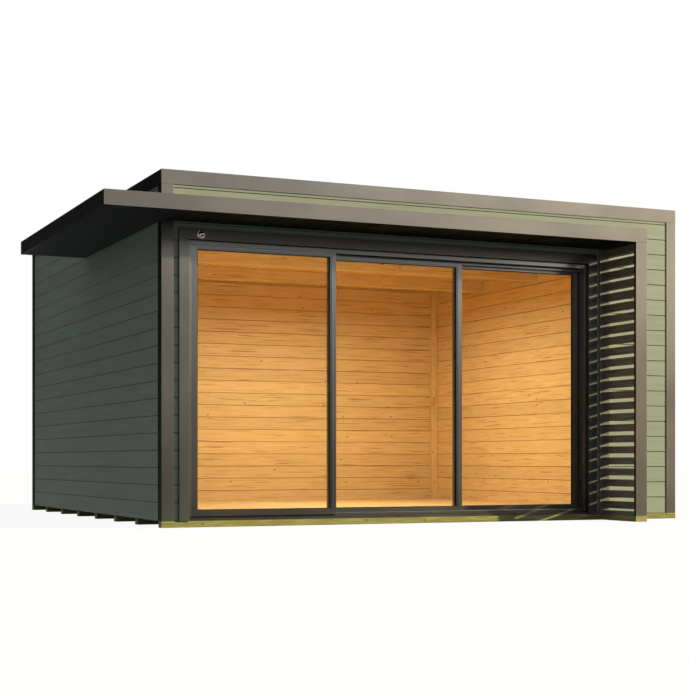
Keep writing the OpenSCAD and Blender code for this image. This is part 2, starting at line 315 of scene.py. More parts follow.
@dataclass
class Ring:
    """Section carried round an upright rectangle, with mitred corners.

    A section point keeps to a corner of the outer rectangle or of the opening. It is moved towards
    the middle of the rectangle by its two insets, and stands at its own depth behind the front.
    """

    low: Array
    high: Array
    opening_low: Array
    opening_high: Array
    anchors: Sequence[Anchor]
    insets: Array
    depths: Array

    def patch(self) -> Patch:
        """Faces of the ring.

        Returns:
            Four mitred runs, turned outwards.
        """
        lows = np.stack([self.low, self.opening_low])
        highs = np.stack([self.high, self.opening_high])
        pick = np.array([anchor.value for anchor in self.anchors])
        low = lows[pick][:, [0, 2]] + self.insets
        high = highs[pick][:, [0, 2]] - self.insets
        across = np.stack([low[:, 0], high[:, 0], high[:, 0], low[:, 0]])
        upright = np.stack([low[:, 1], low[:, 1], high[:, 1], high[:, 1]])
        behind = np.broadcast_to(self.low[1] + self.depths, across.shape)
        points = np.stack([across, behind, upright], axis=-1)
        index = np.arange(points.shape[0] * points.shape[1]).reshape(points.shape[:2])
        beside = np.roll(index, -1, axis=0)
        quads = np.stack(
            [index, beside, np.roll(beside, -1, axis=1), np.roll(index, -1, axis=1)], axis=-1
        ).reshape(-1, 4)
        flat = points.reshape(-1, 3)
        grain = np.stack([flat[:, 0] + flat[:, 2], flat[:, 1]], axis=-1)[quads]
        return Patch(flat, [quads], [grain], [np.zeros(len(quads))])


@dataclass
class Turning:
    """Profile turned round an axis, once for each centre.

    A profile point (r, h) lies at centre + axis * h + r * (side * cos(t) + other * sin(t)). The last
    point of the profile is the pole on the axis, and the first ring is closed by a flat face.
    """

    profile: Array
    centres: Array
    axis: Array
    steps: int

    def patch(self) -> Patch:
        """Faces of all the turned shapes.

        Returns:
            Rings, pole caps and base faces, turned outwards.
        """
        centres = np.atleast_2d(self.centres)
        count, rings = len(centres), len(self.profile) - 1
        side = Z_AXIS if abs(self.axis @ Z_AXIS) < 0.5 else X_AXIS
        other = np.cross(self.axis, side)
        angle = np.linspace(0.0, 2.0 * math.pi, self.steps, endpoint=False)[:, None]
        spoke = np.cos(angle) * side + np.sin(angle) * other
        r, h = self.profile[:-1].T
        shape = r[:, None, None] * spoke + h[:, None, None] * self.axis
        shape = np.concatenate([shape.reshape(-1, 3), [self.profile[-1, 1] * self.axis]])
        points = (centres[:, None] + shape).reshape(-1, 3)
        first = np.arange(count)[:, None, None] * len(shape)
        index = first + np.arange(rings * self.steps).reshape(rings, self.steps)
        beside = np.roll(index, -1, axis=2)
        walls = np.stack(
            [index[:, :-1], beside[:, :-1], beside[:, 1:], index[:, 1:]], axis=-1
        ).reshape(-1, 4)
        pole = np.broadcast_to(first[:, 0] + rings * self.steps, index[:, -1].shape)
        caps = np.stack([index[:, -1], beside[:, -1], pole], axis=-1).reshape(-1, 3)
        bases = index[:, 0, ::-1]
        faces = [walls, caps, bases]
        grain = [points[block][..., [0, 2]] for block in faces]
        return Patch(points, faces, grain, [np.zeros(len(block)) for block in faces])


def add_mesh(name: str, patches: Sequence[Patch], smooth: bool = False) -> bpy.types.Object:
    """Puts patches into one mesh object at the origin.

    Args:
        name: Name of the piece.
        patches: Patches of the piece.
        smooth: Whether faces are shaded smooth up to a sharp angle.

    Returns:
        The new object.
    """
    firsts = np.cumsum([0] + [len(patch.points) for patch in patches])
    blocks = [block + first for patch, first in zip(patches, firsts) for block in patch.faces]
    faces = [face for block in blocks for face in block.tolist()]
    mesh = bpy.data.meshes.new(name)
    mesh.from_pydata(np.concatenate([patch.points for patch in patches]), [], faces)
    grain = np.concatenate([block.reshape(-1, 2) for patch in patches for block in patch.grain])
    mesh.uv_layers.new(name=GRAIN_MAP).data.foreach_set("uv", grain.ravel().astype(np.float32))
    tones = np.concatenate([block for patch in patches for block in patch.tones])
    mesh.attributes.new(TONE, "FLOAT", "FACE").data.foreach_set("value", tones.astype(np.float32))
    if smooth:
        mesh.polygons.foreach_set("use_smooth", np.ones(len(faces), dtype=bool))
        mesh.set_sharp_from_angle(angle=math.radians(SHARP_DEG))
    mesh.update()
    piece = bpy.data.objects.new(name, mesh)
    bpy.context.scene.collection.objects.link(piece)
    return piece


def linear(colour: str) -> tuple[float, float, float, float]:
    """Linear colour of an sRGB hex value.

    A channel c is c / 12.92 up to 0.04045, and ((c + 0.055) / 1.055) ** 2.4 above it.

    Args:
        colour: Colour as #rrggbb.

    Returns:
        Red, green, blue and an alpha of one.
    """
    code = np.array([int(colour[i:i + 2], 16) for i in (1, 3, 5)]) / 255.0
    light = np.where(code <= 0.04045, code / 12.92, ((code + 0.055) / 1.055) ** 2.4)
    return (*light.tolist(), 1.0)


def add_node(
    tree: Tree,
    kind: str,
    settings: Mapping[str | int, Any] | None = None,
    links: Mapping[str | int, Socket] | None = None,
) -> Node:
    """Adds a node with its settings and links.

    Args:
        tree: Tree that gets the node.
        kind: Blender's name of the node type.
        settings: Properties, inputs by name or number, or stops of a ramp as (place, hex) pairs.
        links: Sockets that feed inputs, by name or number.

    Returns:
        The new node.
    """
    node = tree.nodes.new(kind)
    for key, value in (settings or {}).items():
        if key == "stops":
            ramp = node.color_ramp.elements
            while len(ramp) < len(value):
                ramp.new(1.0)
            for stop, (place, colour) in zip(ramp, value):
                stop.position = place
                stop.color = linear(colour)
        elif isinstance(key, str) and hasattr(node, key):
            setattr(node, key, value)
        else:
            node.inputs[key].default_value = value
    for key, socket in (links or {}).items():
        tree.links.new(socket, node.inputs[key])
    return node


@dataclass(frozen=True)
class Finish(ABC):
    """Finish of a surface, named for the real material."""

    name: str

    @abstractmethod
    def dress(self, tree: Tree, shader: Node) -> None:
        """Adds the finish to a new material's tree and its Principled shader."""


@lru_cache(maxsize=None)
def material(finish: Finish) -> bpy.types.Material:
    """Material of a finish, made once.

    Args:
        finish: Finish to make.

    Returns:
        The material.
    """
    made = bpy.data.materials.new(finish.name)
    made.use_nodes = True
    finish.dress(made.node_tree, made.node_tree.nodes["Principled BSDF"])
    return made


@dataclass(frozen=True)
class Timber(Finish):
    """Board with a broad figure, thin lines along its run, a tone of its own and a few knots.

    Figure and lines are noise stretched along the grain map, and knots are cells of the same map. A
    span holds the two values of a pattern between which its colour comes in.
    """

    pale: str
    deep: str
    line: str
    grain_mm: float
    run_mm: float
    line_mm: float
    line_share: float
    tone_spread: float
    roughness: float
    relief_mm: float
    specular: float
    knot: str | None = None
    knot_gap_mm: float = 300.0
    knot_share: float = 0.3
    knot_squeeze: float = 2.2
    knot_span: Pair = (0.018, 0.05)
    figure_span: Pair = (0.32, 0.68)
    line_span: Pair = (0.62, 0.74)
    line_stretch: float = 2.0
    # Span of face tone over which the line colour comes in as painted shade.
    painted_shade_span: Pair = (-1.5, -4.0)
    gloss_swing: float = 0.08
    bump: float = 0.6

    def dress(self, tree: Tree, shader: Node) -> None:
        """Adds figure, lines, knots, board tone and relief.

        Args:
            tree: Node tree of the material.
            shader: Its Principled shader.
        """
        place = add_node(tree, "ShaderNodeUVMap", {"uv_map": GRAIN_MAP}).outputs["UV"]
        figure = self.noise(tree, place, self.run_mm, self.grain_mm, detail=4.0)
        stops = list(zip(self.figure_span, (self.deep, self.pale)))
        tint = add_node(tree, "ShaderNodeValToRGB", {"stops": stops}, {"Fac": figure}).outputs["Color"]
        fine = self.noise(tree, place, self.run_mm * self.line_stretch, self.line_mm, detail=2.0)
        begins, full = self.line_span
        thin = add_node(
            tree, "ShaderNodeMapRange",
            {"From Min": begins, "From Max": full, "To Max": self.line_share}, {"Value": fine},
        ).outputs["Result"]
        tint = self.over(tree, tint, self.line, thin)
        if self.knot:
            tint = self.over(tree, tint, self.knot, self.knots(tree, place))
        # A low face tone lays on the line colour and lowers the value: painted shade in grooves and under
        # the floor.
        tone = add_node(tree, "ShaderNodeAttribute", {"attribute_name": TONE}).outputs["Fac"]
        begins, full = self.painted_shade_span
        joint = add_node(
            tree, "ShaderNodeMapRange", {"From Min": begins, "From Max": full}, {"Value": tone}
        ).outputs["Result"]
        tint = self.over(tree, tint, self.line, joint)
        level = add_node(
            tree, "ShaderNodeMath", {"operation": "MULTIPLY_ADD", 1: self.tone_spread, 2: 1.0}, {0: tone}
        )
        toned = add_node(
            tree, "ShaderNodeHueSaturation", None, {"Color": tint, "Value": level.outputs["Value"]}
        )
        relief = add_node(
            tree, "ShaderNodeBump", {"Strength": self.bump, "Distance": self.relief_mm * MM},
            {"Height": fine},
        )
        gloss = add_node(
            tree, "ShaderNodeMapRange",
            {"To Min": self.roughness + self.gloss_swing, "To Max": self.roughness - self.gloss_swing},
            {"Value": figure},
        )
        shader.inputs["Specular IOR Level"].default_value = self.specular
        tree.links.new(toned.outputs["Color"], shader.inputs["Base Color"])
        tree.links.new(relief.outputs["Normal"], shader.inputs["Normal"])
        tree.links.new(gloss.outputs["Result"], shader.inputs["Roughness"])

    def noise(self, tree: Tree, place: Socket, run_mm: float, wide_mm: float, detail: float) -> Socket:
        """Noise stretched along the boards.

        Args:
            tree: Node tree of the material.
            place: Grain map.
            run_mm: Size of the pattern along the board.
            wide_mm: Size of the pattern across the board.
            detail: Number of finer layers.

        Returns:
            Socket with the noise.
        """
        scaled = add_node(
            tree, "ShaderNodeMapping",
            {"Scale": (1.0 / (run_mm * MM), 1.0 / (wide_mm * MM), 1.0)}, {"Vector": place},
        )
        return add_node(
            tree, "ShaderNodeTexNoise",
            {"noise_dimensions": "2D", "Scale": 1.0, "Detail": detail, "Distortion": 0.4},
            {"Vector": scaled.outputs["Vector"]},
        ).outputs["Fac"]

    def knots(self, tree: Tree, place: Socket) -> Socket:
        """Share of knot at a place: small long spots in some cells of the map.

        Args:
            tree: Node tree of the material.
            place: Grain map.

        Returns:
            Socket with the share.
        """
        cell = self.knot_gap_mm * MM
        wide = add_node(
            tree, "ShaderNodeMapping", {"Scale": (1.0 / cell, self.knot_squeeze / cell, 1.0)},
            {"Vector": place},
        )
        cells = add_node(
            tree, "ShaderNodeTexVoronoi",
            {"voronoi_dimensions": "2D", "Scale": 1.0}, {"Vector": wide.outputs["Vector"]},
        )
        full, ends = self.knot_span
        spot = add_node(
            tree, "ShaderNodeMapRange",
            {"From Min": full, "From Max": ends, "To Min": 1.0, "To Max": 0.0},
            {"Value": cells.outputs["Distance"]},
        )
        chosen = add_node(
            tree, "ShaderNodeMath", {"operation": "LESS_THAN", 1: self.knot_share},
            {0: cells.outputs["Color"]},
        )
        return add_node(
            tree, "ShaderNodeMath", {"operation": "MULTIPLY"},
            {0: spot.outputs["Result"], 1: chosen.outputs["Value"]},
        ).outputs["Value"]

    def over(self, tree: Tree, under: Socket, colour: str, share: Socket) -> Socket:
        """Colour below with a share of another colour, given as sRGB hex, laid over it."""
        return add_node(
            tree, "ShaderNodeMix", {"data_type": "RGBA", 7: linear(colour)}, {0: share, 6: under}
        ).outputs[2]


@dataclass(frozen=True)
class Coat(Finish):
    """Even coat or sheet with soft clouds of tone, a fine grit in its relief and perhaps a clear layer."""

    pale: str
    deep: str
    metallic: float
    roughness: float
    cloud_mm: float
    grit_mm: float
    relief_mm: float
    specular: float = 0.5
    edge: float = 1.0
    clear: float = 0.0
    clear_roughness: float = 0.2
    cloud_span: Pair = (0.35, 0.65)
    gloss_swing: float = 0.06
    bump: float = 0.3

    def dress(self, tree: Tree, shader: Node) -> None:
        """Adds clouds of tone and gloss, the grit and the clear layer.

        Args:
            tree: Node tree of the material.
            shader: Its Principled shader.
        """
        place = add_node(tree, "ShaderNodeTexCoord").outputs["Object"]
        clouds = add_node(
            tree, "ShaderNodeTexNoise",
            {"Scale": 1.0 / (self.cloud_mm * MM), "Detail": 3.0, "Roughness": 0.5}, {"Vector": place},
        ).outputs["Fac"]
        stops = list(zip(self.cloud_span, (self.deep, self.pale)))
        tint = add_node(tree, "ShaderNodeValToRGB", {"stops": stops}, {"Fac": clouds})
        gloss = add_node(
            tree, "ShaderNodeMapRange",
            {"To Min": self.roughness - self.gloss_swing, "To Max": self.roughness + self.gloss_swing},
            {"Value": clouds},
        )
        grit = add_node(
            tree, "ShaderNodeTexNoise",
            {"Scale": 1.0 / (self.grit_mm * MM), "Detail": 2.0}, {"Vector": place},
        )
        relief = add_node(
            tree, "ShaderNodeBump", {"Strength": self.bump, "Distance": self.relief_mm * MM},
            {"Height": grit.outputs["Fac"]},
        )
        shader.inputs["Metallic"].default_value = self.metallic
        shader.inputs["Specular IOR Level"].default_value = self.specular
        shader.inputs["Specular Tint"].default_value = (self.edge, self.edge, self.edge, 1.0)
        shader.inputs["Coat Weight"].default_value = self.clear
        shader.inputs["Coat Roughness"].default_value = self.clear_roughness
        tree.links.new(tint.outputs["Color"], shader.inputs["Base Color"])
        tree.links.new(gloss.outputs["Result"], shader.inputs["Roughness"])
        tree.links.new(relief.outputs["Normal"], shader.inputs["Normal"])


@dataclass(frozen=True)
class Pane(Finish):
    """Clear glass that lets lamp light through unbent."""

    tint: str
    ior: float

    def dress(self, tree: Tree, shader: Node) -> None:
        """Makes the shader clear and passes shadow rays.

        Args:
            tree: Node tree of the material.
            shader: Its Principled shader.
        """
        shader.inputs["Base Color"].default_value = linear(self.tint)
        shader.inputs["Transmission Weight"].default_value = 1.0
        shader.inputs["Roughness"].default_value = 0.0
        shader.inputs["IOR"].default_value = self.ior
        path = add_node(tree, "ShaderNodeLightPath")
        through = add_node(tree, "ShaderNodeBsdfTransparent", {"Color": linear(self.tint)})
        mixed = add_node(
            tree, "ShaderNodeMixShader", None,
            {0: path.outputs["Is Shadow Ray"], 1: shader.outputs["BSDF"], 2: through.outputs["BSDF"]},
        )
        tree.links.new(mixed.outputs["Shader"], tree.nodes["Material Output"].inputs["Surface"])


# Grey-green satin paint on planed boards: an even colour, faint grain, boards that differ a little
BOARD_PAINT = Timber(
    "satin_paint_on_planed_spruce", "#818a7e", "#7c8579", "#535a51", grain_mm=40.0, run_mm=600.0,
    line_mm=8.0, line_share=0.1, tone_spread=0.05, roughness=0.6, relief_mm=0.25, specular=0.25,
)
# Bronze-grey metallic coat on folded sheet: dark in itself, and as bright as the light that it mirrors
TRIM_COAT = Coat(
    "bronze_metallic_coat_on_folded_sheet", "#4e4c49", "#464441", metallic=0.9, roughness=0.42,
    cloud_mm=650.0, grit_mm=14.0, relief_mm=0.05, specular=0.2, edge=0.2,
)
# Pressure-treated sawn softwood: yellow-green, coarse dark streaks, dry surface
TREATED_WOOD = Timber(
    "pressure_treated_sawn_softwood", "#929056", "#777245", "#5e5836", grain_mm=18.0, run_mm=220.0,
    line_mm=7.0, line_share=0.5, tone_spread=0.08, roughness=0.85, relief_mm=0.8, specular=0.2,
    knot="#4d4226",
)
# Planed clear-finished pine: warm yellow boards, thin brown lines along the grain and a few small knots
PLANED_PINE = Timber(
    "clear_finished_planed_pine", "#e0b973", "#d6ae66", "#a5692a", grain_mm=30.0, run_mm=230.0,
    line_mm=9.0, line_share=0.9, tone_spread=0.06, roughness=0.5, relief_mm=0.2, specular=0.25,
    knot="#7a4a1e", knot_gap_mm=330.0, knot_share=0.35,
)
# Dark-stained slats: a dull grey-brown, almost black in the canopy's shade, the grain only just shows
SLAT_STAIN = Timber(
    "dark_stained_softwood_slats", "#66625c", "#55514c", "#34302c", grain_mm=16.0, run_mm=300.0,
    line_mm=7.0, line_share=0.5, tone_spread=0.1, roughness=0.65, relief_mm=0.3, specular=0.3,
)
# Grey-black stained soffit boards, flat and dull; their colour is set darker still as painted shade, so that
# the underside stays dark
SOFFIT_STAIN_AND_SHADE = Timber(
    "grey_stained_soffit_boards_and_painted_shade", "#171a1b", "#121516", "#101213", grain_mm=20.0, run_mm=400.0,
    line_mm=8.0, line_share=0.4, tone_spread=0.12, roughness=0.75, relief_mm=0.3, specular=0.06,
)
# Bronze-grey powder coat on extruded aluminium: even dark satin with a light orange peel.
# The peel is really about 2 mm and is drawn wider, so that it shows at all.
DOOR_COAT = Coat(
    "powder_coat_on_extruded_aluminium", "#2a2825", "#252320", metallic=0.3, roughness=0.36,
    cloud_mm=500.0, grit_mm=12.0, relief_mm=0.04, specular=0.7, clear=1.0, clear_roughness=0.2,
)
# Low-iron glazing, one clear pane a leaf: almost no tint. Its index is far below real glass's 1.5,
# which would mirror the pale studio and hide the room.
GLAZING = Pane("low_iron_clear_glass", "#f7fbf8", ior=1.08)
# Extruded rubber gasket: a dull black line between glass and metal
GASKET = Coat(
    "extruded_rubber_gasket", "#191918", "#111111", metallic=0.0, roughness=0.75,
    cloud_mm=200.0, grit_mm=10.0, relief_mm=0.03, specular=0.2,
)
# Rubber roofing sheet: matte charcoal with pale chalky clouds
ROOFING = Coat(
    "rubber_roofing_sheet", "#45484a", "#37393b", metallic=0.0, roughness=0.8,
    cloud_mm=420.0, grit_mm=16.0, relief_mm=0.4, specular=0.0,
)
# Polished chrome: mirrors what stands in front of it, with the faintest haze
CHROME = Coat(
    "polished_chrome", "#d4d6d9", "#c6c8cc", metallic=1.0, roughness=0.1,
    cloud_mm=60.0, grit_mm=10.0, relief_mm=0.01,
)
# Steel nail gone black in treated wood: small dull spots
NAIL_STEEL = Coat(
    "weathered_steel_nail", "#1d1813", "#120f0b", metallic=0.2, roughness=0.7,
    cloud_mm=10.0, grit_mm=4.0, relief_mm=0.05,
)


@dataclass
class Assembly(ABC):
    """Group of pieces that ride on one body."""

    body: str = "building"

    @abstractmethod
    def build(self) -> None:
        """Makes the pieces of the group."""

    def piece(
        self,
        name: str,
        patches: Sequence[Patch],
        finish: Finish,
        slot: str | None = None,
        nodes: Sequence[str] = (),
        smooth: bool = False,
    ) -> None:
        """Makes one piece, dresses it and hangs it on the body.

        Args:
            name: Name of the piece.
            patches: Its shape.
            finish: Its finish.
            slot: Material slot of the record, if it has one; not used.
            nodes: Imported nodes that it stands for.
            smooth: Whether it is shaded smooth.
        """
        made = add_mesh(name, patches, smooth)
        made.data.materials.append(material(finish))
        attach(made, self.body)
        if nodes:
            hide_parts(*nodes)
        LOG.info("%s: %d faces, %s", name, len(made.data.polygons), finish.name)

    def keep(self, node: str, finish: Finish) -> None:
        """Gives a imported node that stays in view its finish."""
        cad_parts[node].material_slots[0].material = material(finish)
        LOG.info("%s: packed shape, %s", node, finish.name)


@dataclass
class Base(Assembly):
    """Treated bearers with their nails, and the floor boards."""

    bearer_w_mm: float = 70.0
    bearer_count: int = 8
    slat_bearer_w_mm: float = 55.0
    bearer_gap_mm: float = 2.0
    ease_mm: float = 3.0
    board_w_mm: float = 95.0
    # Painted shade: the bearers behind the front one are drawn darker, for the shade under the floor.
    painted_shade_under_floor: float = -3.0
    fresh_shade: float = 3.5
    nail_r_mm: float = 4.5
    nail_h_mm: float = 1.5
    nail_drop_mm: float = 12.0
    nail_rings: int = 4
    nail_steps: int = 10
    left_nail_mm: float = 180.0
    right_nail_mm: float = 90.0
    screen_nail_mm: float = 45.0

    def build(self) -> None:
        """Makes bearers, floor and nails."""
        self.bearers()
        self.screen_bearers()
        self.floor()
        self.nails()

    def bearers(self) -> None:
        """Bearers under the floor, evenly spaced from front to back, with painted shade on those behind the
        first.
        """
        low, high = corners("floor_bearers")
        width, length = self.bearer_w_mm * MM, high[0] - low[0]
        section = rectangle(width, high[2] - low[2], self.ease_mm * MM)
        starts = spaced(low, high, width, self.bearer_count)
        front = Bars(section, Y_AXIS, Z_AXIS, X_AXIS, starts[:1], length, seed="front bearer")
        behind = Bars(section, Y_AXIS, Z_AXIS, X_AXIS, starts[1:], length, painted_shades=self.painted_shade_under_floor)
        patches = [front.patch(), behind.patch()]
        self.piece("bearer_timbers", patches, TREATED_WOOD, "treated_timber", ["floor_bearers"])

    def screen_bearers(self) -> None:
        """Two short bearers side by side under the screen, paler on their cut ends."""
        low, high = corners("screen_bearer")
        split = low + self.slat_bearer_w_mm * MM * X_AXIS
        ease, fresh = self.ease_mm * MM, self.fresh_shade
        first = beam(low, [split[0], high[1], high[2]], Y_AXIS, ease, "first", fresh)
        second = beam(split + self.bearer_gap_mm * MM * X_AXIS, high, Y_AXIS, ease, "second", fresh)
        self.piece(
            "screen_bearer_timbers", [first, second], TREATED_WOOD, "treated_timber", ["screen_bearer"]
        )

    def floor(self) -> None:
        """Floor boards from front to back, cut short behind the door frame."""
        low, high = corners("floor_deck")
        sill_low, sill_high = corners("door_sill_track")
        edges = [low[0], sill_low[0], sill_high[0], high[0]]
        fronts = [low[1], sill_high[1], low[1]]
        row = BoardRow(self.board_w_mm)
        patches = [
            row.patch([x0, y0, low[2]], [x1, high[1], high[2]], Y_AXIS, Z_AXIS, f"floor{x0:.2f}")
            for x0, x1, y0 in zip(edges[:-1], edges[1:], fronts)
        ]
        self.piece("floor_boards", patches, PLANED_PINE, "pine", ["floor_deck"])

    def nails(self) -> None:
        """Nail heads near the ends of the front bearer and of the screen's bearer."""
        low, high = corners("floor_bearers")
        screen_low, _ = corners("screen_bearer")
        level = high[2] - self.nail_drop_mm * MM
        edge = self.right_nail_mm * MM
        places = (low[0] + self.left_nail_mm * MM, screen_low[0] - edge, high[0] - edge)
        front = np.array([[x, low[1], level] for x in places])
        side = np.array([[screen_low[0], screen_low[1] + self.screen_nail_mm * MM, level]])
        angle = np.linspace(0.0, math.pi / 2.0, self.nail_rings)
        head = np.stack([np.cos(angle) * self.nail_r_mm, np.sin(angle) * self.nail_h_mm], axis=-1) * MM
        patches = [
            Turning(head, spots, axis, self.nail_steps).patch()
            for spots, axis in ((front, -Y_AXIS), (side, -X_AXIS))
        ]
        self.piece("bearer_nails", patches, NAIL_STEEL)


@dataclass
class LogWalls(Assembly):
    """Walls of interlocking boards: painted outside, pine inside, roofing over the inner parapet.

    Each wall has two skins back to back. A course's section has its shown edges cut back to a V with
    a narrow slot behind it, and the courses are counted from the bearers to the wall's top. The
    painted joints lie a little higher than the pine ones.
    """

    courses: int = 20
    bevel_mm: float = 2.2
    slot_mm: float = 1.4
    slot_depth_mm: float = 9.0
    outer_lift_mm: float = 8.0
    inner_lift_mm: float = 2.0
    # Painted shade in the grooves: darker outside, lighter on the pine.
    outer_joint_painted_shade: float = -13.0
    inner_joint_painted_shade: float = -3.0
    least_course_mm: float = 1.0
    upstand_ease_mm: float = 1.0
    sides: tuple[tuple[str, Side], ...] = (
        ("left_wall", Side.LEFT),
        ("right_wall", Side.RIGHT),
        ("back_wall", Side.BACK),
        ("front_wall_left", Side.FRONT),
        ("front_wall_right", Side.FRONT),
        ("front_wall_head", Side.FRONT),
    )

    def build(self) -> None:
        """Makes the three layers of every wall."""
        for node, side in self.sides:
            self.wall(node, side)

    def wall(self, node: str, side: Side) -> None:
        """One wall with its two skins and its upstand.

        Args:
            node: Packed wall.
            side: Side of the building that it stands on.
        """
        low, high = corners(node)
        ceiling = corners("roof_deck")[0][2]
        outside = self.skin(node, side, high[2], -side.inward, self.outer_lift_mm, self.outer_joint_painted_shade)
        inside = self.skin(node, side, ceiling, side.inward, self.inner_lift_mm, self.inner_joint_painted_shade)
        self.piece(node + "_boards_outside", [outside], BOARD_PAINT, "painted_boards", [node])
        self.piece(node + "_boards_inside", [inside], PLANED_PINE, "pine", [node])
        half = side.depth(low, high) / 2.0
        start = side.start(low, high) + half * side.inward
        start[2] = ceiling
        section = rectangle(half, high[2] - ceiling, self.upstand_ease_mm * MM)
        upstand = Bars(section, side.inward, Z_AXIS, side.along, start, side.length(low, high))
        self.piece(node + "_upstand", [upstand.patch()], ROOFING, "roofing", [node])

    def skin(self, node: str, side: Side, top: float, shown: Array, lift_mm: float, shade: float) -> Patch:
        """One skin of boards on the wall's middle plane.

        Args:
            node: Packed wall.
            side: Side of the building.
            top: Upper edge of the skin.
            shown: Unit vector out of the shown face.
            lift_mm: Height of the joints above an even spacing.
            shade: Painted shade on the faces of the joints, for the shadow inside the grooves.

        Returns:
            Faces of the boards.
        """
        low, high = corners(node)
        base, wall_top = (corner[2] for corner in corners("left_wall"))
        joints = np.linspace(base, wall_top, self.courses + 1) + lift_mm * MM
        joints[0] = base
        least = self.least_course_mm * MM
        inner = joints[(joints > low[2] + least) & (joints < top - least)]
        edges = np.concatenate([[low[2]], inner, [top]])
        depth = side.depth(low, high) / 2.0
        bevel, gap, slot = self.bevel_mm * MM, self.slot_mm * MM / 2.0, self.slot_depth_mm * MM
        lower = np.array([
            (0.0, 0.0), (depth - slot, 0.0), (depth - slot, gap), (depth - bevel, gap), (depth, gap + bevel),
        ])
        upper = lower[::-1] * (1.0, -1.0)
        shares = np.repeat([0.0, 1.0], len(lower))
        # The groove faces get painted shade.
        painted_shades = shade * np.array([0, 1, 1, 1, 0, 1, 1, 1, 0, 0])
        start = side.start(low, high) + depth * side.inward
        starts = start * (1.0, 1.0, 0.0) + edges[:-1, None] * Z_AXIS
        return Bars(
            np.concatenate([lower, upper]), shown, Z_AXIS, side.along, starts, side.length(low, high),
            shares, np.diff(edges), painted_shades=painted_shades, seed=f"{node}{lift_mm}",
        ).patch()


@dataclass
class CornerTrims(Assembly):
    """Upright angles of folded sheet on the four corners."""

    ease_mm: float = 1.2
    corners: tuple[tuple[str, Side], ...] = (
        ("corner_trim_front_left", Side.FRONT),
        ("corner_trim_front_right", Side.RIGHT),
        ("corner_trim_back_right", Side.BACK),
        ("corner_trim_back_left", Side.LEFT),
    )

    def build(self) -> None:
        """Carries an eased L up each corner, from the corner where that side's run begins."""
        thick = corners("left_wall")[0][0] - corners("corner_trim_front_left")[0][0]
        for node, side in self.corners:
            low, high = corners(node)
            leg = side.length(low, high)
            section = eased(
                [(0.0, 0.0), (leg, 0.0), (leg, thick), (thick, thick), (thick, leg), (0.0, leg)],
                self.ease_mm * MM,
            )
            bar = Bars(section, side.along, side.inward, Z_AXIS, side.start(low, high), high[2] - low[2])
            self.piece(node + "_angle", [bar.patch()], TRIM_COAT, "folded_trim", [node])


@dataclass
class Roof(Assembly):
    """Folded edge bands, ceiling boards, beams, inner posts and the roofing sheet."""

    ease_mm: float = 1.2
    timber_ease_mm: float = 5.0
    board_w_mm: float = 95.0
    beam_w_mm: float = 45.0
    beam_count: int = 3
    post_w_mm: float = 60.0
    post_d_mm: float = 50.0
    fold_mm: float = 10.0

    def build(self) -> None:
        """Makes the edge bands, the timber and the sheet."""
        for side in Side:
            self.edge_band(side)
        low, high = corners("roof_deck")
        boards = BoardRow(self.board_w_mm).patch(low, high, Y_AXIS, -Z_AXIS, "ceiling")
        self.piece("ceiling_boards", [boards], PLANED_PINE, "pine", ["roof_deck"])
        self.beams()
        self.posts()
        self.keep("roof_membrane", ROOFING)

    def edge_band(self, side: Side) -> None:
        """Band folded over the wall's top, mitred at both ends.

        Args:
            side: Side of the building.
        """
        node = "roof_edge_" + side.name.lower()
        low, high = corners(node)
        thick = corners("left_wall")[0][0] - corners("roof_edge_left")[0][0]
        height, depth, fold = high[2] - low[2], side.depth(low, high), self.fold_mm * MM
        section = eased(
            [(0.0, 0.0), (thick, 0.0), (thick, height - fold), (depth, height - fold), (depth, height),
             (0.0, height)],
            self.ease_mm * MM,
        )
        bar = Bars(
            section, side.inward, Z_AXIS, side.along, side.start(low, high), side.length(low, high),
            slopes=(1.0, -1.0),
        )
        self.piece(node + "_band", [bar.patch()], TRIM_COAT, "folded_trim", [node])

    def beams(self) -> None:
        """Ceiling beams from wall to wall."""
        low, high = corners("roof_beams")
        width = self.beam_w_mm * MM
        section = rectangle(width, high[2] - low[2], self.timber_ease_mm * MM)
        starts = spaced(low, high, width, self.beam_count)
        bars = Bars(section, Y_AXIS, Z_AXIS, X_AXIS, starts, high[0] - low[0])
        self.piece("ceiling_beams", [bars.patch()], PLANED_PINE, "pine", ["roof_beams"])

    def posts(self) -> None:
        """Posts in the four inner corners."""
        low, high = corners("inner_corner_posts")
        size = np.array([self.post_w_mm * MM, self.post_d_mm * MM, high[2] - low[2]])
        far = high - size
        spots = [np.array([x, y, low[2]]) for x in (low[0], far[0]) for y in (low[1], far[1])]
        patches = [
            beam(spot, spot + size, Z_AXIS, self.timber_ease_mm * MM, f"post{number}")
            for number, spot in enumerate(spots)
        ]
        self.piece("inner_posts", patches, PLANED_PINE, "pine", ["inner_corner_posts"])


